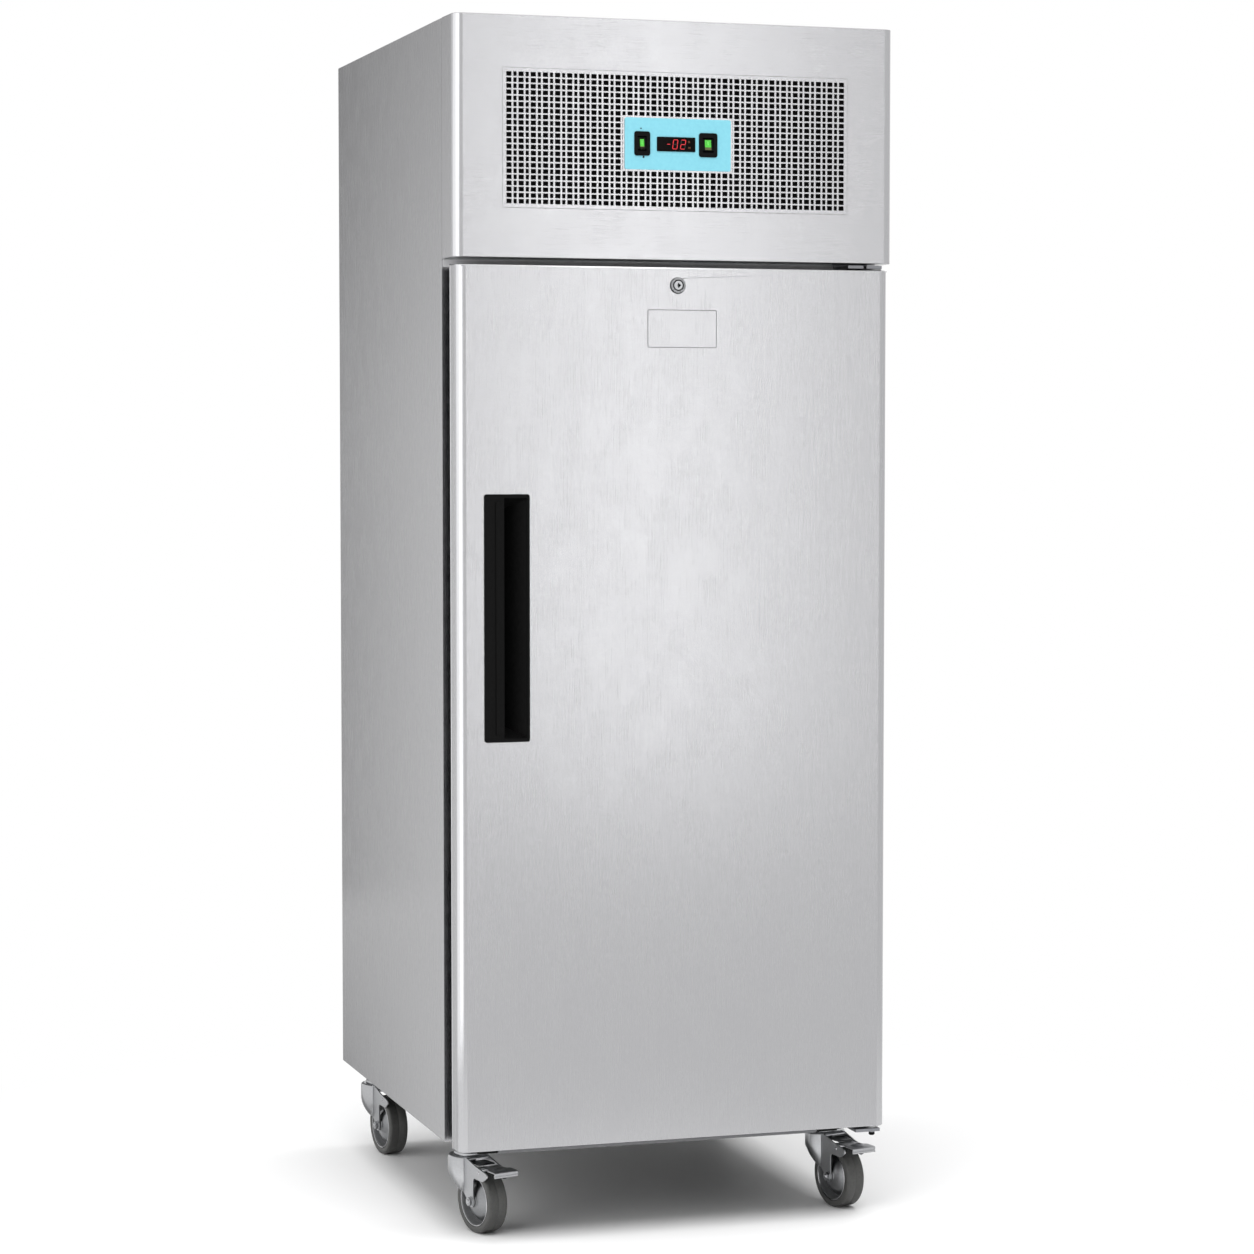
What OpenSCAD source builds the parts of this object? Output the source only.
// Upright refrigerator for GN 2/1 shelves: a stainless cabinet on swivel castors, one door hung on the
// right, and a refrigeration unit on top behind a swing-up header panel with a perforated grille.
// Millimetres, +Z up, front towards -Y, origin on the floor under the middle of the bounding box.

/* [Cabinet] */
// Overall width of cabinet and header
body_w = 740; // [700:1:800]
// Depth of the cabinet from its front face to its back
body_d = 745; // [700:1:800]
// Height of the cabinet and header above the castors
body_h = 1799; // [1720:1:1850]
// Thickness of the insulated walls
wall_t = 60; // [50:1:66]
// Thickness of the outer steel sheet
sheet_t = 1; // [0.8:0.1:1.5]
// Corner radius of the storage compartment
liner_r = 25; // [15:1:35]

/* [Header] */
// Height of the header panel
header_h = 380; // [360:1:420]
// Depth of header and door in front of the cabinet
front_d = 77; // [74:1:84]
// Radius of the vertical front edges
edge_r = 15; // [10:1:18]
// Width of the perforated field
grille_w = 569; // [540:1:600]
// Height of the perforated field
grille_h = 207; // [190:1:225]
// Height of the field's middle above the header's lower edge
grille_mid = 188; // [180:1:196]
// Width of the wide holes
hole_wide = 8.6; // [8:0.2:10]
// Width of the narrow holes between them
hole_narrow = 5.4; // [4:0.2:6]
// Height of a hole
hole_h = 7.2; // [6:0.1:8]
// Width of the bars between the holes
bar_w = 3; // [2.4:0.1:4]
// Height of the bars between the rows
bar_h = 2.3; // [2:0.1:3.5]

/* [Controls] */
// Width of the control panel
panel_w = 178; // [170:1:190]
// Height of the control panel
panel_h = 82; // [76:1:90]
// Thickness of the control panel over the header sheet
panel_t = 2; // [1.5:0.1:3]
// Drop of the control panel's middle below the grille's middle
panel_drop = 4; // [0:1:8]
// Width of the display window
display_w = 64.5; // [60:0.5:68]
// Height of the display window
display_h = 23; // [20:0.5:26]
// Width of the left switch's bezel
bezel_w = 26.5; // [25:0.5:28]
// Width of the right switch's bezel
bezel_wide = 31; // [29:0.5:33]
// Height of the switch bezels
bezel_h = 38.5; // [36:0.5:40]
// Width of the left rocker
rocker_w = 14; // [12:0.5:15]
// Width of the right rocker
rocker_wide = 18; // [16:0.5:19]
// Distance of the left switch from the panel's middle
switch_left = 60.5; // [59:0.5:64]
// Distance of the right switch from the panel's middle
switch_right = 50.5; // [49:0.5:56]
// Radius of a rocker about its pins
rocker_r = 11.2; // [10.5:0.1:12]

/* [Door] */
// Gap between the header and the door's upper edge
door_gap = 11; // [10:0.5:14]
// How far the door hangs below the cabinet
door_drop = 4; // [2:0.5:5]
// Reveal beside the door on the handle side
reveal_left = 4; // [3:0.5:6]
// Reveal beside the door on the hinge side
reveal_right = 6.5; // [5:0.5:8]
// Depth of the door's outer shell
shell_d = 41; // [38:1:44]
// Depth of the moulded inner panel behind the shell
inner_d = 16; // [12:1:18]
// Width of the gasket
gasket_w = 16; // [14:1:18]
// Distance of the hinge axis from the cabinet's right side
hinge_in = 22; // [20:0.5:26]
// Distance of the hinge axis behind the front
hinge_back = 20; // [18:0.5:23]
// Diameter of the hinge pins
hinge_pin_d = 10; // [8:0.5:11]

/* [Handle and lock] */
// Width of the recessed handle
handle_w = 74.5; // [70:0.5:80]
// Height of the recessed handle
handle_h = 394; // [360:1:420]
// Distance of the handle from the door's edge
handle_in = 44; // [40:1:50]
// Height of the handle's middle above the floor
handle_z = 1004.5; // [950:0.5:1050]
// How far the grip stands out of the door
grip_proud = 4; // [2:0.5:5]
// Diameter of the lock's ring
lock_d = 27; // [25:0.5:28]
// Diameter of the lock's plug
plug_d = 14; // [12:0.5:16]
// Drop of the lock below the door's upper edge
lock_drop = 29; // [28:0.5:30]
// Length of the lock's cam
cam_len = 28; // [24:1:30]

/* [Shelves] */
// Width of a shelf
shelf_w = 530; // [520:1:540]
// Distance of the shelves behind the cabinet's front face
shelf_front = 14; // [10:1:20]
// Clearance behind the shelves
shelf_back = 21; // [15:1:30]
// Height of the lowest shelf above the compartment's floor
shelf_low = 150; // [120:1:200]
// Distance from shelf to shelf
shelf_step = 340; // [300:5:350]
// Diameter of a shelf's frame wire
frame_wire = 7; // [6:0.5:8]
// Diameter of a shelf's cross wires
rod_wire = 4; // [3:0.5:5]
// Number of wires across a shelf
rod_n = 18; // [12:1:24]

/* [Castors] */
// Height of the castors
castor_h = 156; // [152:1:165]
// Diameter of the wheels
wheel_d = 105; // [100:1:108]
// Width of the tyres
tyre_w = 34; // [28:1:36]
// Distance from swivel axis to axle
trail = 37.8; // [34:0.2:40]
// Diameter of the axle bolts
axle_d = 8; // [7:0.5:9]
// Distance of the swivel axes from the cabinet's sides
castor_in = 58; // [56:1:70]
// Distance of the swivel axes from the cabinet's front and back
castor_back = 56; // [50:1:70]
// Reach of the brake pedals from the swivel axis
pedal_reach = 113.8; // [108:0.2:116]
// Width of the brake pedals
pedal_w = 44; // [42:0.5:50]

/* [Refrigeration unit] */
// Diameter of the compressor
comp_d = 170; // [150:1:180]
// Height of the compressor
comp_h = 200; // [180:1:210]
// Width of the condenser
cond_w = 340; // [320:1:360]
// Height of the condenser
cond_h = 290; // [280:1:300]
// Depth of the condenser
cond_d = 60; // [50:1:64]
// Diameter of the condenser fan
fan_d = 254; // [240:1:258]
// Diameter of the evaporator fan
evap_fan_d = 170; // [160:1:180]
// Drop of the evaporator cover below the compartment's ceiling
evap_h = 110; // [105:1:120]

/* [Hidden] */
$fn = 48;
// Clearances of seated sheets and shells, and of running fits
seat_gap = 0.3;
run_gap = 0.05;
eps = 0.01;

// Depths, measured from the front plane of door and header, which lies at y = front_y
gland_out = 12;
gland_d = 19;
cord_d = 10;
cord_len = 40;
overall_d = front_d + body_d;
front_y = -(overall_d + gland_out - grip_proud) / 2;
face_y = front_y + front_d;
rear_y = face_y + body_d;
top_z = castor_h + body_h;
header_z = top_z - header_h;
half_w = body_w / 2;

// Storage compartment
cav_hw = half_w - wall_t;
cav_z0 = castor_h + wall_t;
cav_z1 = header_z - wall_t;
cav_y1 = rear_y - wall_t;
frame_t = 1;
liner_t = 0.8;
slot_step = 40;
shelf_n = 3;
shelf_y0 = face_y + shelf_front;
shelf_d = cav_y1 - shelf_back - shelf_y0;
post_in = 90;
post_w = 20;
post_y = [face_y + post_in, cav_y1 - post_in];
runner_out = 9;
runner_hw = cav_hw - runner_out;
runner_t = 1.5;
evap_z0 = cav_z1 - evap_h;
evap_hw = cav_hw - 25;
evap_front = 200;
evap_back = 20;
evap_y0 = face_y + evap_front;
evap_y1 = cav_y1 - evap_back;
evap_fan_y = evap_y0 + 130;
evap_motor_up = 45;
evap_motor_d = 70;
evap_coil_d = 150;
evap_fan_up = 8;
evap_fan_h = 30;
evap_hub_d = 46;

// Door
door_x0 = -half_w + reveal_left;
door_x1 = half_w - reveal_right;
door_z0 = castor_h - door_drop;
door_z1 = header_z - door_gap;
door_h = door_z1 - door_z0;
hinge_x = half_w - hinge_in;
hinge_y = front_y + hinge_back;
inner_in = 5;
inner_y = front_y + shell_d;
gasket_y = inner_y + inner_d;
gasket_hw = hinge_x;
gasket_z0 = castor_h + 5;
gasket_z1 = door_z1 - 2;
plate_t = 5;
bush_r = hinge_pin_d / 2 + 3;
bush_flange = hinge_pin_d / 2 + 5;
bush_len = 14;
arm_top_z = door_z1 + 3;
arm_low_z = door_z0 - plate_t - 5;

// Lock
lock_x = 1;
lock_z = door_z1 - lock_drop;
barrel_r = plug_d / 2 + 2;
cam_t = 3;
cam_w = 6;
cam_y = face_y + frame_t + 2;
striker_r = cam_len / 2 + 3;
striker_d = 9;

// Handle
handle_x0 = door_x0 + handle_in;
handle_x1 = handle_x0 + handle_w;
pocket_d = 34;
pocket_in = 3;
grip_w = 14.4;
grip_x0 = handle_x0 + 18;
slot_x0 = handle_x0 + 9;
slot_x = handle_x0 + 39;

// Header
head_d = front_d - 1;
grille_z = header_z + grille_mid;
grille_t = 1.4;
web_t = 0.9;
row_pitch = hole_h + bar_h;
pair_pitch = hole_wide + hole_narrow + 2 * bar_w;
pairs = floor((grille_w - hole_wide) / pair_pitch);
rows = floor((grille_h + bar_h) / row_pitch);
field_w = pairs * pair_pitch + hole_wide;
field_h = rows * row_pitch - bar_h;
rim = 6;
panel_z = grille_z - panel_drop;
box_d = 48;
swing_y = front_y + head_d - 3.5;
swing_z = top_z - 3.5;
swing_d = 4;
swing_in = 6;
rocker_y = front_y + 4;
rocker_pin_d = 3;
rocker_pin_out = 2;
bezel_t = 1.2;
display_x = -3.6;
lens_t = 1;

// Castors: swivel axes, swivel angles at rest, and sizes
castor_x = half_w - castor_in;
castor_y0 = face_y + castor_back;
castor_y1 = rear_y - castor_back;
angle_fl = 16;
angle_fr = 12;
angle_rl = 8;
angle_rr = 0;
wheel_r = wheel_d / 2;
tread_t = 9.5;
shoulder = 4;
hub_r = wheel_r - tread_t;
fork_t = 2.5;
fork_in = tyre_w / 2 + 2.5;
fork_out = fork_in + fork_t;
crown_z = wheel_d + 7;
crown_t = 3;
crown_r = 34;
race_r = crown_r - 1;
race_h = 6;
fold_y = -sqrt(crown_r * crown_r - fork_out * fork_out);
kingpin_d = 10;
pedal_u = 58;
pedal_z = wheel_d + 1.5;
pedal_pin_d = 4;

// Refrigeration unit
deck_z = header_z + sheet_t;
tray_front = 30;
tray_back = 105;
tray_side = 40;
tray_y0 = face_y + tray_front;
tray_y1 = rear_y - tray_back;
tray_hw = half_w - tray_side;
tray_t = 1.5;
tray_rim = 20;
tray_z = deck_z + tray_t;
comp_side = 160;
comp_back = 300;
comp_foot = 22;
comp_x = half_w - comp_side;
comp_y = tray_y0 + comp_back;
comp_z = tray_z + comp_foot;
cond_off = 330;
cond_x = comp_x - cond_off;
cond_y = tray_y0 + 20;
cond_top = tray_z + 30 + cond_h;
shroud_y = cond_y + cond_d + 12;
shroud_d = 30;
fan_z = tray_z + 15 + cond_h / 2;
pipe_d = 10;
pipe_bend_r = 30;
gas_off = 35;
liquid_run = 170;
suction_run = 60;
suction_up = 100;
gland_in = 70;
gland_up = 45;
louvre_span = 250;
louvre_step = 50;
louvre_w = 30;
louvre_h = 90;
louvre_up = [90, 220];
fan_h = 28;
fan_hub_d = 60;
fan_motor_d = 60;
fan_motor_len = 55;
fan_cap_d = 40;
shaft_d = 8;
shaft_len = 48;

// Flat rectangle of width w and height h about the origin, with corners of radius r
module round_rect(w, h, r) {
  square([w - 2 * r, h], center = true);
  square([w, h - 2 * r], center = true);
  for (x = [-1, 1], y = [-1, 1])
    translate([x * (w / 2 - r), y * (h / 2 - r)])
      circle(r = r);
}

// Plan of a box from x0 to x1, front at y = 0, depth d, with both front corners rounded
module front_plan(x0, x1, d, r) {
  translate([x0, r])
    square([x1 - x0, d - r]);
  translate([x0 + r, 0])
    square([x1 - x0 - 2 * r, r + eps]);
  for (x = [x0 + r, x1 - r])
    translate([x, r])
      circle(r = r);
}

// Block from corner a to corner b
module block(a, b) {
  translate(a)
    cube(b - a);
}

// Stands a flat shape, drawn in x and z, upright at depth y and gives it thickness t to the rear
module upright(y, t) {
  translate([0, y + t, 0])
    rotate([90, 0, 0])
      linear_extrude(t)
        children();
}

// Rod of diameter d along Y from y0 to y1
module rod_y(x, y0, y1, z, d) {
  translate([x, y0, z])
    rotate([-90, 0, 0])
      cylinder(d = d, h = y1 - y0);
}

// Rod of diameter d along X from x0 to x1
module rod_x(x0, x1, y, z, d) {
  translate([x0, y, z])
    rotate([0, 90, 0])
      cylinder(d = d, h = x1 - x0);
}

// Cabinet

module side_panel(side) {
  color("gainsboro")
    mirror([side < 0 ? 1 : 0, 0, 0]) {
      block([half_w - sheet_t, face_y, castor_h], [half_w, rear_y, top_z]);
      block([half_w - 22, rear_y - sheet_t, castor_h], [half_w - sheet_t + eps, rear_y, top_z]);
    }
}

module side_panel_left() side_panel(-1);

module side_panel_right() side_panel(1);

module back_panel() {
  color("silver")
    difference() {
      block([-half_w + sheet_t, rear_y - 2 * sheet_t, castor_h],
          [half_w - sheet_t, rear_y - sheet_t, top_z - 25]);
      for (x = [-louvre_span : louvre_step : louvre_span], up = louvre_up)
        block([x - louvre_w / 2, rear_y - 3 * sheet_t, deck_z + up],
            [x + louvre_w / 2, rear_y, deck_z + up + louvre_h]);
      rod_y(half_w - gland_in, rear_y - 3 * sheet_t, rear_y, deck_z + gland_up, gland_d + 1);
    }
}

module base_panel() {
  color("silver")
    block([-half_w + sheet_t, face_y + frame_t, castor_h],
        [half_w - sheet_t, rear_y - 2 * sheet_t, castor_h + sheet_t]);
}

module cavity_outline(grow) {
  translate([0, (cav_z0 + cav_z1) / 2])
    round_rect(2 * cav_hw + 2 * grow, cav_z1 - cav_z0 + 2 * grow, liner_r + grow);
}

module insulation_foam() {
  color("khaki")
    difference() {
      block([-half_w + sheet_t, face_y + frame_t, castor_h + sheet_t],
          [half_w - sheet_t, rear_y - 2 * sheet_t, header_z]);
      upright(face_y, cav_y1 - face_y + liner_t)
        cavity_outline(liner_t);
      rod_y(lock_x, face_y, face_y + frame_t + striker_d + 1, lock_z, 2 * striker_r + 3);
    }
}

module inner_liner() {
  color("whitesmoke")
    difference() {
      upright(face_y + frame_t, cav_y1 - face_y - frame_t + liner_t)
        cavity_outline(liner_t);
      upright(face_y, cav_y1 - face_y)
        cavity_outline(0);
    }
}

module front_frame() {
  color("lightgray")
    difference() {
      block([-half_w + sheet_t, face_y, castor_h], [half_w - sheet_t, face_y + frame_t, header_z]);
      upright(face_y - 1, frame_t + 2)
        cavity_outline(0);
      block([lock_x - cam_w / 2 - 3, face_y - 1, lock_z - cam_len / 2 - 1],
          [lock_x + cam_w / 2 + 2, face_y + 2, lock_z + cam_len / 2 + 1]);
    }
}

module lock_striker() {
  color("dimgray")
    difference() {
      rod_y(lock_x, face_y + frame_t, face_y + frame_t + striker_d + 1, lock_z, 2 * striker_r + 3);
      rod_y(lock_x, face_y, face_y + frame_t + striker_d, lock_z, 2 * striker_r);
    }
}

module machine_deck() {
  color("silver") {
    block([-half_w + sheet_t, face_y, header_z], [half_w - sheet_t, rear_y - 2 * sheet_t, deck_z]);
    block([-half_w + sheet_t, face_y, header_z], [half_w - sheet_t, face_y + sheet_t, header_z + 14]);
  }
}

// Storage compartment

function shelf_z(i) = cav_z0 + shelf_low + i * shelf_step;

module shelf_supports() {
  color("lightgray")
    for (side = [0, 1])
      mirror([side, 0, 0]) {
        for (y = post_y)
          difference() {
            block([runner_hw, y - post_w / 2, cav_z0 + 30], [cav_hw, y + post_w / 2, evap_z0 - 30]);
            block([runner_hw + 2, y - post_w / 2 + 3, cav_z0], [cav_hw + 1, y + post_w / 2 - 3, evap_z0]);
            for (z = [cav_z0 + 52 : slot_step : evap_z0 - 50])
              block([runner_hw - 1, y - 3, z], [runner_hw + 3, y + 3, z + 14]);
          }
        for (i = [0 : shelf_n - 1]) {
          block([runner_hw - runner_t, post_y[0] - 25, shelf_z(i) - 10],
              [runner_hw, post_y[1] + 25, shelf_z(i) + 14]);
          block([shelf_w / 2 - 12, post_y[0] - 25, shelf_z(i) - frame_wire / 2 - runner_t],
              [runner_hw, post_y[1] + 25, shelf_z(i) - frame_wire / 2]);
        }
      }
}

module wire_shelf(i) {
  hw = (shelf_w - frame_wire) / 2;
  len = shelf_d - frame_wire;
  color("white")
    translate([0, shelf_y0 + frame_wire / 2, shelf_z(i)]) {
      for (x = [-hw, hw])
        rod_y(x, 0, len, 0, frame_wire, $fn = 12);
      for (y = [0, len / 3, 2 * len / 3, len])
        rod_x(-hw, hw, y, 0, frame_wire, $fn = 12);
      for (k = [1 : rod_n])
        rod_y(-hw + 2 * hw * k / (rod_n + 1), 0, len, frame_wire / 2, rod_wire, $fn = 8);
    }
}

module wire_shelf_lower() wire_shelf(0);

module wire_shelf_middle() wire_shelf(1);

module wire_shelf_upper() wire_shelf(2);

module evaporator_cover() {
  color("white")
    difference() {
      union() {
        block([-evap_hw, evap_y0, evap_z0], [evap_hw, evap_y1, evap_z0 + sheet_t]);
        for (x = [-evap_hw, evap_hw - sheet_t])
          block([x, evap_y0, evap_z0], [x + sheet_t, evap_y1, cav_z1 - seat_gap]);
        block([-evap_hw, evap_y0, evap_z0], [evap_hw, evap_y0 + sheet_t, cav_z1 - seat_gap]);
      }
      translate([0, evap_fan_y, evap_z0 - 1])
        cylinder(d = evap_fan_d + 8, h = sheet_t + 2);
    }
}

module evaporator_coil() {
  tubes = 5;
  y1 = evap_y1 - evap_back;
  y0 = y1 - evap_coil_d;
  color("silver") {
    for (x = [-evap_hw + 35, evap_hw - 37])
      block([x, y0, evap_z0 + 12], [x + 2, y1, cav_z1 - seat_gap]);
    for (x = [-evap_hw + 49 : 12 : evap_hw - 49])
      block([x, y0 + 4, evap_z0 + 14], [x + 1, y1 - 4, cav_z1 - 8]);
    for (k = [0 : tubes - 1])
      block([-evap_hw + 28, y0 + 14 + k * 28, evap_z0 + 50],
          [evap_hw - 28, y0 + 22 + k * 28, evap_z0 + 58]);
  }
}

module evaporator_fan_motor() {
  motor_z = evap_z0 + evap_motor_up;
  color("dimgray")
    translate([0, evap_fan_y, 0]) {
      difference() {
        translate([0, 0, motor_z])
          cylinder(d = evap_motor_d, h = cav_z1 - motor_z - 10);
        translate([0, 0, motor_z - 1])
          cylinder(d = shaft_d + 2 * run_gap, h = 24);
      }
      for (a = [0 : 90 : 270])
        rotate([0, 0, a])
          block([20, -8, cav_z1 - 16], [60, 8, cav_z1 - seat_gap]);
    }
}

// Flat turned fan: a hub on a shaft with n pitched blades, axis along Z from z = 0
module fan(d, hub_d, h, n) {
  difference() {
    union() {
      cylinder(d = hub_d, h = h);
      for (k = [0 : n - 1])
        rotate([0, 0, k * 360 / n])
          intersection() {
            translate([hub_d / 2 - 4, 0, h / 2])
              rotate([32, 0, 0])
                translate([0, -d * 0.16, -0.9])
                  cube([d / 2 - hub_d / 2, d * 0.32, 1.8]);
            cylinder(d = d, h = h);
          }
    }
    translate([0, 0, -1])
      cylinder(d = hub_d - 6, h = h - 5);
  }
}

module evaporator_fan() {
  color("black")
    translate([0, evap_fan_y, evap_z0 + evap_fan_up]) {
      translate([0, 0, evap_fan_h])
        mirror([0, 0, 1])
          fan(evap_fan_d, evap_hub_d, fan_h, 5);
      translate([0, 0, 4])
        cylinder(d = shaft_d, h = shaft_len - 2);
    }
}

// Refrigeration unit

module unit_tray() {
  color("darkgray") {
    block([-tray_hw, tray_y0, deck_z], [tray_hw, tray_y1, tray_z]);
    for (x = [-tray_hw, tray_hw - tray_t])
      block([x, tray_y0, deck_z], [x + tray_t, tray_y1, deck_z + tray_rim]);
    for (y = [tray_y0, tray_y1 - tray_t])
      block([-tray_hw, y, deck_z], [tray_hw, y + tray_t, deck_z + tray_rim]);
    for (x = [-1, 1], y = [-1, 1])
      translate([comp_x + x * 75, comp_y + y * 50, tray_z - eps])
        cylinder(d = 24, h = comp_z - tray_z - 3);
  }
}

module compressor() {
  shell_r = comp_d / 2;
  color("#222222") {
    translate([comp_x, comp_y, comp_z])
      rotate_extrude() {
        square([shell_r - 20, comp_h]);
        translate([0, 20])
          square([shell_r, comp_h - 60]);
        translate([shell_r - 20, 20])
          circle(r = 20);
        translate([shell_r - 40, comp_h - 40])
          circle(r = 40);
        square([shell_r - 40, comp_h]);
      }
    block([comp_x - 90, comp_y - 62, comp_z - 3], [comp_x + 90, comp_y + 62, comp_z + 1]);
    block([comp_x + shell_r - 12, comp_y - 25, comp_z + 60],
        [comp_x + shell_r + 22, comp_y + 25, comp_z + 120]);
  }
}

module condenser_coil() {
  x0 = cond_x - cond_w / 2;
  x1 = cond_x + cond_w / 2;
  z0 = tray_z;
  z1 = cond_top;
  color("silver") {
    for (x = [x0, x1 - 2])
      block([x, cond_y, z0], [x + 2, cond_y + cond_d, z1]);
    for (x = [x0 + 12 : 12 : x1 - 12])
      block([x, cond_y + 4, z0 + 15], [x + 1, cond_y + cond_d - 4, z1 - 8]);
    for (k = [0 : 5], y = [16, cond_d - 16])
      block([x0 - 8, cond_y + y - 4, z0 + 30 + k * 50], [x1 + 8, cond_y + y + 4, z0 + 38 + k * 50]);
  }
}

module fan_shroud() {
  z1 = cond_top;
  ring_r = fan_d / 2 + 6;
  color("gray") {
    difference() {
      union() {
        block([cond_x - cond_w / 2, cond_y + cond_d, tray_z],
            [cond_x + cond_w / 2, shroud_y + sheet_t, z1]);
        rod_y(cond_x, shroud_y, shroud_y + shroud_d, fan_z, 2 * ring_r + 6);
      }
      block([cond_x - cond_w / 2 + 2, cond_y + cond_d - 1, tray_z + 2],
          [cond_x + cond_w / 2 - 2, shroud_y, z1 - 2]);
      rod_y(cond_x, shroud_y - 1, shroud_y + shroud_d + 1, fan_z, 2 * ring_r);
    }
    for (a = [45 : 90 : 315])
      translate([cond_x, shroud_y + shroud_d, fan_z])
        rotate([0, a, 0]) {
          translate([30.2, 6, -5])
            cube([ring_r - 28.7, 4, 10]);
          translate([ring_r + 1.5, -6, -6])
            cube([6, 18, 12]);
        }
  }
}

module condenser_fan_motor() {
  y0 = shroud_y + shroud_d + 6;
  color("#333333")
    difference() {
      union() {
        rod_y(cond_x, y0, y0 + fan_motor_len, fan_z, fan_motor_d);
        rod_y(cond_x, y0 + fan_motor_len - 1, y0 + fan_motor_len + 7, fan_z, fan_cap_d);
      }
      rod_y(cond_x, y0 - 1, y0 + 26, fan_z, shaft_d + 2 * run_gap);
    }
}

module condenser_fan() {
  color("dimgray")
    translate([cond_x, shroud_y + shroud_d, fan_z])
      rotate([90, 0, 0]) {
        fan(fan_d, fan_hub_d, fan_h, 5);
        translate([0, 0, -shaft_len / 2])
          cylinder(d = shaft_d, h = shaft_len);
      }
}

module pipe_bend(r, a, d) {
  rotate_extrude(angle = a)
    translate([r, 0])
      circle(d = d);
}

module refrigerant_pipes() {
  bend = pipe_bend_r;
  gas_x = comp_x + gas_off;
  gas_y = cond_y + 16;
  gas_z = tray_z + cond_h - 10;
  coil_x = cond_x + cond_w / 2 + 8;
  liquid_x = comp_x - comp_d / 2 - 22;
  liquid_y = cond_y + cond_d - 16;
  liquid_z = tray_z + 34;
  liquid_end = comp_y + liquid_run;
  suction_y = comp_y + comp_d / 2 + suction_run;
  suction_z = comp_z + suction_up;
  color("peru") {
    // Hot gas line from the condenser back over the compressor and down into it
    rod_x(coil_x, gas_x - bend, gas_y, gas_z, pipe_d);
    translate([gas_x - bend, gas_y + bend, gas_z])
      rotate([0, 0, -90])
        pipe_bend(bend, 90, pipe_d);
    rod_y(gas_x, gas_y + bend, comp_y - bend, gas_z, pipe_d);
    translate([gas_x, comp_y - bend, gas_z - bend])
      rotate([90, 0, 90])
        pipe_bend(bend, 90, pipe_d);
    translate([gas_x, comp_y, comp_z + comp_h])
      cylinder(d = pipe_d, h = gas_z - bend - comp_z - comp_h);
    // Liquid line from the condenser past its drier and down through the deck
    rod_x(coil_x, liquid_x - bend, liquid_y, liquid_z, pipe_d);
    translate([liquid_x - bend, liquid_y + bend, liquid_z])
      rotate([0, 0, -90])
        pipe_bend(bend, 90, pipe_d);
    rod_y(liquid_x, liquid_y + bend, liquid_end, liquid_z, pipe_d);
    rod_y(liquid_x, comp_y, comp_y + 110, liquid_z, 26);
    translate([liquid_x, liquid_end, liquid_z - bend])
      rotate([90, 0, 90])
        pipe_bend(bend, 90, pipe_d);
    translate([liquid_x, liquid_end + bend, tray_z])
      cylinder(d = pipe_d, h = liquid_z - bend - tray_z);
    // Suction line up through the deck into the compressor's side
    rod_y(comp_x, comp_y + comp_d / 2, suction_y - bend, suction_z, pipe_d);
    translate([comp_x, suction_y - bend, suction_z - bend])
      rotate([90, 0, 90])
        pipe_bend(bend, 90, pipe_d);
    translate([comp_x, suction_y, tray_z])
      cylinder(d = pipe_d, h = suction_z - bend - tray_z);
  }
}

module terminal_box() {
  y1 = rear_y - 2 * sheet_t;
  color("gainsboro")
    difference() {
      union() {
        block([half_w - 120, y1 - 60, deck_z + 10], [half_w - 25, y1 - seat_gap, deck_z + 110]);
        rod_y(half_w - gland_in, y1 - 2, rear_y + gland_out, deck_z + gland_up, gland_d);
      }
      rod_y(half_w - gland_in, rear_y + gland_out - cord_len, rear_y + gland_out + 1,
          deck_z + gland_up, cord_d);
    }
}

// Hinges of the door

module hinge_bracket_top() {
  color("silver") {
    difference() {
      block([hinge_x - 52, front_y + 8, arm_top_z], [hinge_x + 7, face_y, arm_top_z + plate_t]);
      block([hinge_x - 25, front_y, arm_top_z - 1], [hinge_x - 20, front_y + 48, arm_top_z + plate_t + 1]);
    }
    block([hinge_x - 52, face_y - plate_t, arm_top_z], [hinge_x + 7, face_y, header_z + 40]);
    translate([hinge_x, hinge_y, arm_top_z - 14])
      cylinder(d = hinge_pin_d, h = 15);
  }
}

module hinge_bracket_bottom() {
  color("silver") {
    block([hinge_x - 34, front_y + 6, arm_low_z], [hinge_x + 9, face_y + 6, arm_low_z + plate_t]);
    block([hinge_x + 1, front_y + 50, arm_low_z], [hinge_x + 20, face_y + 74, arm_low_z + plate_t]);
    block([hinge_x + 1, face_y + 1, arm_low_z], [hinge_x + 20, face_y + 74, castor_h]);
    translate([hinge_x, hinge_y, arm_low_z - 3.5])
      cylinder(d = hinge_pin_d, h = door_z0 + 13 - arm_low_z);
  }
}

module bush(z0, up, flange_h) {
  translate([hinge_x, hinge_y, z0])
    mirror([0, 0, up ? 0 : 1])
      difference() {
        union() {
          cylinder(r = bush_r, h = bush_len);
          translate([0, 0, -flange_h])
            cylinder(r = bush_flange, h = flange_h);
        }
        translate([0, 0, -flange_h - 1])
          cylinder(d = hinge_pin_d + 2 * run_gap, h = bush_len + flange_h + 2);
      }
}

module hinge_bushes() {
  color("white") {
    bush(door_z0, true, door_z0 - arm_low_z - plate_t - seat_gap);
    bush(door_z1, false, arm_top_z - door_z1 - seat_gap);
  }
}

// Door

module door_block(inset, y0, y1) {
  translate([0, 0, door_z0 + inset])
    linear_extrude(door_h - 2 * inset)
      translate([0, y0])
        front_plan(door_x0 + inset, door_x1 - inset, y1 - y0, edge_r - inset);
}

module hinge_holes() {
  for (z = [door_z0 - 1, door_z1 - bush_len - 0.5])
    translate([hinge_x, hinge_y, z])
      cylinder(r = bush_r, h = bush_len + 1.5);
}

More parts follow.
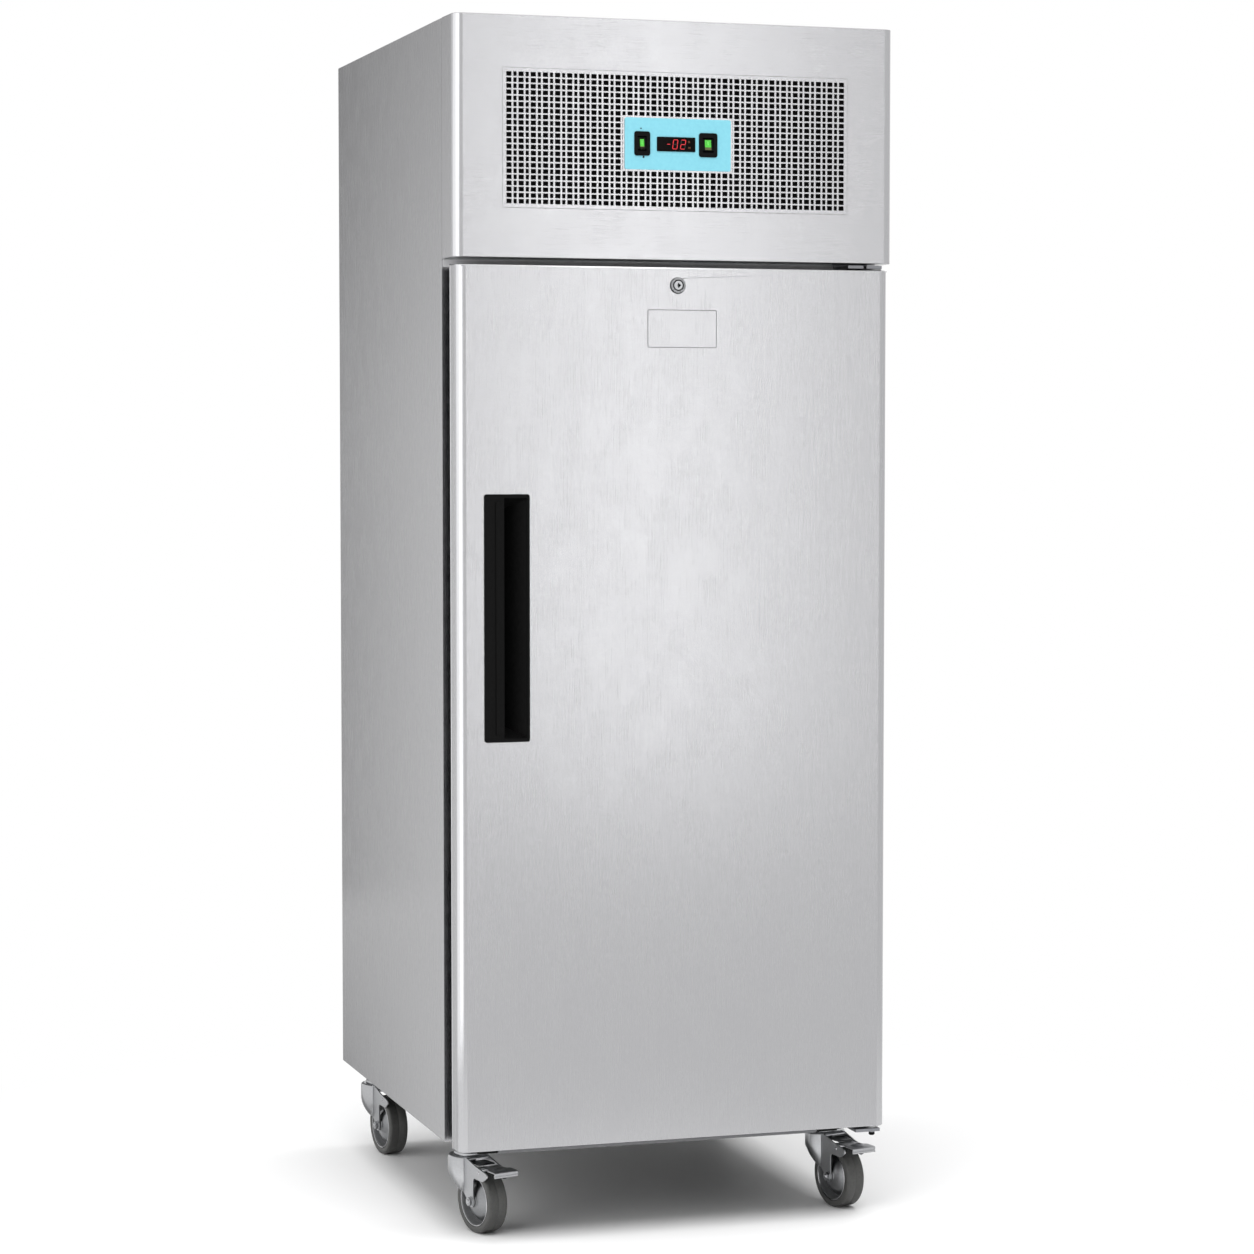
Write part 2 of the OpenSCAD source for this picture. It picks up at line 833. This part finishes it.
module handle_cut() {
  block([handle_x0 + pocket_in, front_y - 1, handle_z - handle_h / 2 + pocket_in],
      [handle_x1 - pocket_in, front_y + pocket_d + 3, handle_z + handle_h / 2 - pocket_in]);
}

module lock_cut() {
  rod_y(lock_x, front_y - 5, gasket_y + 20, lock_z, 2 * barrel_r);
}

module door_skin() {
  color("silver")
    difference() {
      door_block(0, front_y, inner_y);
      translate([0, 0, door_z0 + sheet_t])
        linear_extrude(door_h - 2 * sheet_t)
          translate([0, front_y + sheet_t])
            front_plan(door_x0 + sheet_t, door_x1 - sheet_t, shell_d + 5, edge_r - sheet_t);
      hinge_holes();
      handle_cut();
      lock_cut();
    }
}

module door_foam() {
  color("khaki")
    difference() {
      translate([0, 0, door_z0 + sheet_t])
        linear_extrude(door_h - 2 * sheet_t)
          translate([0, front_y + sheet_t])
            front_plan(door_x0 + sheet_t, door_x1 - sheet_t, shell_d - sheet_t, edge_r - sheet_t);
      hinge_holes();
      handle_cut();
      lock_cut();
    }
}

pan_in = 34;
pan_d = 8;

module door_inner_panel() {
  color("#2b2b2b")
    difference() {
      union() {
        block([door_x0 + inner_in, inner_y, door_z0 + inner_in],
            [door_x1 - inner_in, gasket_y, door_z1 - inner_in]);
        upright(inner_y, inner_d + pan_d)
          translate([0, (gasket_z0 + gasket_z1) / 2])
            round_rect(2 * (gasket_hw - pan_in), gasket_z1 - gasket_z0 - 2 * pan_in, 20);
      }
      lock_cut();
    }
}

module door_gasket() {
  color("black")
    difference() {
      upright(gasket_y, face_y - gasket_y - seat_gap)
        translate([0, (gasket_z0 + gasket_z1) / 2])
          round_rect(2 * gasket_hw, gasket_z1 - gasket_z0, 6);
      upright(gasket_y - 1, 40)
        translate([0, (gasket_z0 + gasket_z1) / 2])
          round_rect(2 * (gasket_hw - gasket_w), gasket_z1 - gasket_z0 - 2 * gasket_w, 4);
    }
}

// Space for the fingers: a ramp from the right and a slot under the grip, with slanted ends
module finger_space() {
  end = 26;
  intersection() {
    translate([0, 0, handle_z - handle_h / 2])
      linear_extrude(handle_h)
        translate([0, front_y])
          polygon([[handle_x1 - 4, -3], [handle_x1 - 4, 1], [slot_x + 1, pocket_d - 5],
              [slot_x0, pocket_d - 3], [slot_x0, 9], [grip_x0 + grip_w, 9], [grip_x0 + grip_w, -3]]);
    translate([handle_x0, 0, 0])
      rotate([90, 0, 90])
        linear_extrude(handle_w)
          polygon([[front_y - 3, handle_z - handle_h / 2 + 5],
              [front_y + pocket_d, handle_z - handle_h / 2 + end],
              [front_y + pocket_d, handle_z + handle_h / 2 - end],
              [front_y - 3, handle_z + handle_h / 2 - 5]]);
  }
}

module handle_pocket() {
  color("#1c1c1c")
    difference() {
      union() {
        upright(front_y - 2, 2)
          translate([handle_x0 + handle_w / 2, handle_z])
            round_rect(handle_w, handle_h, 4);
        block([handle_x0 + pocket_in, front_y - eps, handle_z - handle_h / 2 + pocket_in],
            [handle_x1 - pocket_in, front_y + pocket_d, handle_z + handle_h / 2 - pocket_in]);
        translate([grip_x0 + grip_w / 2, front_y - grip_proud + 3, handle_z - handle_h / 2 + 12])
          intersection() {
            cylinder(d = grip_w, h = handle_h - 24);
            translate([-grip_w / 2, -3, 0])
              cube([grip_w, 3 + grip_proud, handle_h - 24]);
          }
      }
      finger_space();
    }
}

module lock_housing() {
  color("silver")
    difference() {
      union() {
        rod_y(lock_x, front_y - 2, front_y, lock_z, lock_d);
        rod_y(lock_x, front_y - 1, gasket_y + pan_d - 6, lock_z, 2 * barrel_r);
      }
      rod_y(lock_x, front_y - 5, gasket_y + 20, lock_z, plug_d + 2 * run_gap);
    }
}

module lock_plug() {
  color("gray")
    difference() {
      union() {
        rod_y(lock_x, front_y - 1.5, gasket_y, lock_z, plug_d);
        rod_y(lock_x, gasket_y - eps, cam_y + cam_t, lock_z, 6);
        block([lock_x - cam_w / 2, cam_y, lock_z - cam_len / 2],
            [lock_x + cam_w / 2, cam_y + cam_t, lock_z + cam_len / 2]);
      }
      block([lock_x - 1, front_y - 5, lock_z - 4], [lock_x + 1, front_y + 12, lock_z + 4]);
      rod_y(lock_x, front_y - 5, front_y + 12, lock_z, 4);
    }
}

// Header

module header_panel() {
  win_w = field_w + 2 * rim;
  win_h = field_h + 2 * rim;
  color("silver") {
    difference() {
      translate([0, 0, header_z])
        linear_extrude(header_h)
          translate([0, front_y])
            front_plan(-half_w, half_w, head_d, edge_r);
      translate([0, 0, header_z + sheet_t])
        linear_extrude(header_h - 2 * sheet_t)
          translate([0, front_y + sheet_t])
            front_plan(-half_w + sheet_t, half_w - sheet_t, head_d, edge_r - sheet_t);
      block([-half_w + sheet_t, front_y + 60, header_z - 1], [half_w - sheet_t, face_y, top_z + 1]);
      block([-win_w / 2, front_y - 1, grille_z - win_h / 2], [win_w / 2, front_y + 2, grille_z + win_h / 2]);
      header_corner();
    }
    for (side = [0, 1])
      mirror([side, 0, 0])
        difference() {
          union() {
            rod_x(half_w - swing_in - 2, half_w - sheet_t + eps, swing_y, swing_z, 7);
            block([half_w - swing_in - 2, swing_y - 12, swing_z - 25],
                [half_w - sheet_t + eps, swing_y + 3.4, swing_z]);
          }
          rod_x(half_w - swing_in - 3, half_w - 2, swing_y, swing_z, swing_d + 2 * run_gap);
        }
  }
}

// Rounds the header's upper rear corners about the swing axis
module header_corner() {
  difference() {
    block([-half_w - 1, swing_y, swing_z], [half_w + 1, swing_y + 5, swing_z + 5]);
    rod_x(-half_w - 2, half_w + 2, swing_y, swing_z, 7);
  }
}

module header_hinges() {
  in = half_w - swing_in - 2.5;
  color("gray")
    for (side = [0, 1])
      mirror([side, 0, 0]) {
        block([in - 3, swing_y, swing_z - 3.5], [in, face_y + 40, swing_z + 3.5]);
        rod_x(in - 3, in, swing_y, swing_z, 7);
        rod_x(in - 1, half_w - 3, swing_y, swing_z, swing_d);
        block([in - 3, face_y + 14, swing_z - 3.5], [half_w - sheet_t, face_y + 40, swing_z + 3.5]);
      }
}

// Left edge of the hole in column i
function hole_x(i) = -field_w / 2 + floor(i / 2) * pair_pitch + (i % 2 == 0 ? 0 : hole_wide + bar_w);

module vent_grille() {
  blank_hw = panel_w / 2 + 3;
  blank_z0 = panel_z - panel_h / 2 - 3;
  blank_z1 = panel_z + panel_h / 2 + 3;
  z0 = grille_z - field_h / 2;
  y1 = front_y + grille_t;
  mid_y = front_y + (grille_t - web_t) / 2;
  color("silver") {
    difference() {
      block([-field_w / 2 - rim, front_y, z0 - rim], [field_w / 2 + rim, y1, z0 + field_h + rim]);
      block([-field_w / 2, front_y - 1, z0], [field_w / 2, y1 + 1, z0 + field_h]);
    }
    for (i = [1 : 2 * pairs])
      let (x = hole_x(i) - bar_w)
        if (abs(x + bar_w / 2) < blank_hw - 1) {
          block([x, mid_y, z0 - 1], [x + bar_w, mid_y + web_t, blank_z0 + 1]);
          block([x, mid_y, blank_z1 - 1], [x + bar_w, mid_y + web_t, z0 + field_h + 1]);
        } else
          block([x, mid_y, z0 - 1], [x + bar_w, mid_y + web_t, z0 + field_h + 1]);
    for (j = [1 : rows - 1])
      let (z = z0 + j * row_pitch)
        if (z > blank_z0 + 1 && z - bar_h < blank_z1 - 1)
          for (x = [-field_w / 2 - 1, blank_hw - 1])
            block([x, front_y, z - bar_h], [x + field_w / 2 - blank_hw + 2, y1, z]);
        else
          block([-field_w / 2 - 1, front_y, z - bar_h], [field_w / 2 + 1, y1, z]);
    difference() {
      block([-blank_hw, front_y, blank_z0], [blank_hw, y1, blank_z1]);
      panel_cuts();
    }
  }
}

module air_filter() {
  y0 = front_y + grille_t + seat_gap;
  color("#181818")
    difference() {
      block([-field_w / 2 - rim - 8, y0, grille_z - field_h / 2 - rim - 6],
          [field_w / 2 + rim + 8, y0 + 8, grille_z + field_h / 2 + rim + 6]);
      block([-panel_w / 2 - 1, y0 - 1, panel_z - panel_h / 2 - 1],
          [panel_w / 2 + 1, y0 + 9, panel_z + panel_h / 2 + 1]);
    }
}

// Cut for the body behind a window or bezel of width w and height h
module panel_cut(x, w, h) {
  block([x - w / 2 + 2, front_y - 9, panel_z - h / 2 + 2], [x + w / 2 - 2, front_y + 9, panel_z + h / 2 - 2]);
}

module panel_cuts() {
  panel_cut(-switch_left, bezel_w, bezel_h);
  panel_cut(switch_right, bezel_wide, bezel_h);
  panel_cut(display_x, display_w, display_h);
}

module control_panel() {
  color("lightblue")
    difference() {
      upright(front_y - panel_t, panel_t)
        translate([0, panel_z])
          round_rect(panel_w, panel_h, 3);
      panel_cuts();
    }
}

module control_box() {
  y0 = front_y + grille_t;
  color("#202020")
    difference() {
      block([-panel_w / 2 + 1, y0, panel_z - panel_h / 2 + 1],
          [panel_w / 2 - 1, y0 + box_d, panel_z + panel_h / 2 - 1]);
      block([-panel_w / 2 + 3, y0 + 2, panel_z - panel_h / 2 + 3],
          [panel_w / 2 - 3, y0 + box_d - 2, panel_z + panel_h / 2 - 3]);
      panel_cuts();
    }
}

module display_module() {
  color("#101010")
    translate([display_x, 0, panel_z]) {
      upright(front_y - panel_t - lens_t, lens_t)
        round_rect(display_w, display_h, 1.5);
      block([-display_w / 2 + 2.5, front_y - panel_t - eps, -display_h / 2 + 2.5],
          [display_w / 2 - 2.5, front_y + 30, display_h / 2 - 2.5]);
    }
}

// Housing of a rocker switch at x, with a bezel of width w round a rocker of width rw
module switch_housing(x, w, rw) {
  wall_x = rw / 2 + seat_gap;
  translate([x, 0, panel_z])
    difference() {
      union() {
        upright(front_y - panel_t - bezel_t, bezel_t)
          round_rect(w, bezel_h, 4);
        block([-w / 2 + 2.5, front_y - panel_t - eps, -bezel_h / 2 + 2.5],
            [w / 2 - 2.5, front_y + 26, bezel_h / 2 - 2.5]);
      }
      block([-wall_x, front_y - 9, -rocker_r - 0.5], [wall_x, front_y + 18, rocker_r + 0.5]);
      rod_x(-wall_x - rocker_pin_out, wall_x + rocker_pin_out, rocker_y, 0, rocker_pin_d + 2 * run_gap);
    }
}

module switch_housings() {
  color("#0c0c0c") {
    switch_housing(-switch_left, bezel_w, rocker_w);
    switch_housing(switch_right, bezel_wide, rocker_wide);
  }
}

// Rocker of width w at x, about its pins: a drum cut to a shallow V, with the upper half pressed in
module rocker(x, w) {
  translate([x, 0, panel_z]) {
    intersection() {
      rod_x(-w / 2, w / 2, rocker_y, 0, 2 * rocker_r);
      translate([-w / 2, rocker_y, 0])
        rotate([90, 0, 90])
          linear_extrude(w)
            polygon([[5, -12], [5, 12], [-4.6, 12], [-5.8, 0], [-8.4, -12]]);
    }
    rod_x(-w / 2 - rocker_pin_out, w / 2 + rocker_pin_out, rocker_y, 0, rocker_pin_d);
  }
}

module rocker_left() {
  color("limegreen")
    rocker(-switch_left, rocker_w);
}

module rocker_right() {
  color("limegreen")
    rocker(switch_right, rocker_wide);
}

// Castors, drawn about the swivel axis with the wheel trailing towards -Y

module castor_place(sx, y, a) {
  translate([sx * castor_x, y, 0])
    rotate([0, 0, a])
      children();
}

module castor_plates() {
  color("silver")
    for (sx = [-1, 1], y = [castor_y0, castor_y1])
      translate([sx * castor_x, y, 0]) {
        translate([-32, -42, castor_h - 4])
          cube([64, 84, 4]);
        translate([0, 0, crown_z + crown_t + race_h])
          cylinder(d = 46, h = castor_h - crown_z - crown_t - race_h - 1);
        translate([0, 0, crown_z + crown_t + seat_gap])
          cylinder(r = race_r, h = race_h);
        translate([0, 0, crown_z - 6])
          cylinder(d = kingpin_d, h = 20);
        translate([0, 0, crown_z - 6])
          cylinder(d = kingpin_d + 6, h = 6 - seat_gap);
      }
}

module fork_outline() {
  polygon([[fold_y - 0.5, crown_z + crown_t], [-50, crown_z], [-86, crown_z - 7], [-86, crown_z - 13],
      [-75, crown_z - 21], [-47, crown_z - 20], [-44, crown_z - 24], [-44, wheel_r + 4],
      [-trail - 8, wheel_r - 6], [-trail + 8, wheel_r - 6], [fold_y - 0.5, wheel_r + 2]]);
}

module castor_fork() {
  color("lightgray") {
    difference() {
      union() {
        translate([0, 0, crown_z])
          linear_extrude(crown_t) {
            circle(r = crown_r);
            translate([-fork_out, -44])
              square([2 * fork_out, 44]);
          }
        // Curved apron behind the wheel
        intersection() {
          difference() {
            cylinder(r = crown_r, h = crown_z + 1);
            translate([0, 0, -1])
              cylinder(r = crown_r - fork_t, h = crown_z + 3);
          }
          translate([-crown_r - 1, 0, 0])
            rotate([90, 0, 90])
              linear_extrude(2 * crown_r + 2)
                polygon([[fold_y, crown_z + 1], [fold_y, wheel_r + 2], [-16, wheel_r + 11],
                    [-8, wheel_r + 22], [0, wheel_r + 32], [10, wheel_r + 42],
                    [crown_r + 1, crown_z - 16], [crown_r + 1, crown_z + 1]]);
        }
        for (x = [-fork_out, fork_in])
          translate([x, 0, 0])
            rotate([90, 0, 90])
              linear_extrude(fork_t)
                fork_outline();
        for (x = [-fork_out, fork_in])
          rod_x(x, x + fork_t, -trail, wheel_r, 20);
      }
      translate([0, 0, crown_z - 1])
        cylinder(d = kingpin_d + 2 * run_gap, h = crown_t + 2);
      rod_x(-fork_out - 1, fork_out + 1, -pedal_u, pedal_z, pedal_pin_d + 2 * run_gap);
    }
    rod_x(-fork_out - 2, fork_out + 2, -trail, wheel_r, axle_d);
    for (x = [-fork_out - 6, fork_out])
      rod_x(x, x + 6, -trail, wheel_r, 15, $fn = 6);
  }
}

module castor_hub() {
  hw = tyre_w / 2;
  color("gray")
    translate([0, -trail, wheel_r])
      rotate([0, 90, 0])
        rotate_extrude()
          polygon([[axle_d / 2 + run_gap, -hw - 1.5], [9, -hw - 1.5], [11, -hw + 1], [26, -hw + 4],
              [hub_r - 6, -hw + 10], [hub_r - 4.5, -hw + 1], [hub_r, -hw + 1],
              [hub_r, hw - 1], [hub_r - 4.5, hw - 1], [hub_r - 6, hw - 10], [26, hw - 4],
              [11, hw - 1], [9, hw + 1.5], [axle_d / 2 + run_gap, hw + 1.5]]);
}

module castor_tyre() {
  hw = tyre_w / 2;
  color("#454545")
    translate([0, -trail, wheel_r])
      rotate([0, 90, 0])
        rotate_extrude() {
          translate([hub_r, -hw])
            square([tread_t - shoulder, tyre_w]);
          translate([hub_r, -hw + shoulder])
            square([tread_t, tyre_w - 2 * shoulder]);
          for (y = [-hw + shoulder, hw - shoulder])
            translate([wheel_r - shoulder, y])
              circle(r = shoulder);
        }
}

module brake_pedal() {
  tongue = fork_in - 1;
  color("gainsboro") {
    rod_x(-fork_out - 1, fork_out + 1, -pedal_u, pedal_z, pedal_pin_d);
    rod_x(-tongue, tongue, -pedal_u, pedal_z, pedal_pin_d + 4);
    translate([-tongue, 0, 0])
      rotate([90, 0, 90])
        linear_extrude(2 * tongue)
          polygon([[-pedal_u, pedal_z + 1], [-pedal_u, pedal_z + 4], [-90, crown_z + 0.5],
              [-pedal_reach + 4, crown_z], [-pedal_reach + 4, crown_z - 2.5], [-90, crown_z - 2.5]]);
    translate([-pedal_w / 2, 0, 0])
      rotate([90, 0, 90])
        linear_extrude(pedal_w)
          polygon([[-89, crown_z - 2.5], [-89, crown_z], [-pedal_reach, crown_z],
              [-pedal_reach, crown_z - 8], [-pedal_reach + 2.5, crown_z - 8],
              [-pedal_reach + 2.5, crown_z - 2.5]]);
  }
}

module castor_fork_fl() castor_place(-1, castor_y0, angle_fl) castor_fork();
module castor_hub_fl() castor_place(-1, castor_y0, angle_fl) castor_hub();
module castor_tyre_fl() castor_place(-1, castor_y0, angle_fl) castor_tyre();
module brake_pedal_fl() castor_place(-1, castor_y0, angle_fl) brake_pedal();
module castor_fork_fr() castor_place(1, castor_y0, angle_fr) castor_fork();
module castor_hub_fr() castor_place(1, castor_y0, angle_fr) castor_hub();
module castor_tyre_fr() castor_place(1, castor_y0, angle_fr) castor_tyre();
module brake_pedal_fr() castor_place(1, castor_y0, angle_fr) brake_pedal();
module castor_fork_rl() castor_place(-1, castor_y1, angle_rl) castor_fork();
module castor_hub_rl() castor_place(-1, castor_y1, angle_rl) castor_hub();
module castor_tyre_rl() castor_place(-1, castor_y1, angle_rl) castor_tyre();
module castor_fork_rr() castor_place(1, castor_y1, angle_rr) castor_fork();
module castor_hub_rr() castor_place(1, castor_y1, angle_rr) castor_hub();
module castor_tyre_rr() castor_place(1, castor_y1, angle_rr) castor_tyre();

side_panel_left();
side_panel_right();
back_panel();
base_panel();
insulation_foam();
inner_liner();
front_frame();
machine_deck();
shelf_supports();
wire_shelf_lower();
wire_shelf_middle();
wire_shelf_upper();
evaporator_cover();
evaporator_coil();
evaporator_fan_motor();
evaporator_fan();
unit_tray();
compressor();
condenser_coil();
fan_shroud();
condenser_fan_motor();
condenser_fan();
refrigerant_pipes();
terminal_box();
hinge_bracket_top();
hinge_bracket_bottom();
lock_striker();
header_hinges();
castor_plates();
header_panel();
vent_grille();
air_filter();
control_panel();
control_box();
display_module();
switch_housings();
rocker_left();
rocker_right();
door_skin();
door_foam();
door_inner_panel();
door_gasket();
handle_pocket();
lock_housing();
lock_plug();
hinge_bushes();
castor_fork_fl();
castor_hub_fl();
castor_tyre_fl();
castor_fork_fr();
castor_hub_fr();
castor_tyre_fr();
castor_fork_rl();
castor_hub_rl();
castor_tyre_rl();
castor_fork_rr();
castor_hub_rr();
castor_tyre_rr();
brake_pedal_fl();
brake_pedal_fr();
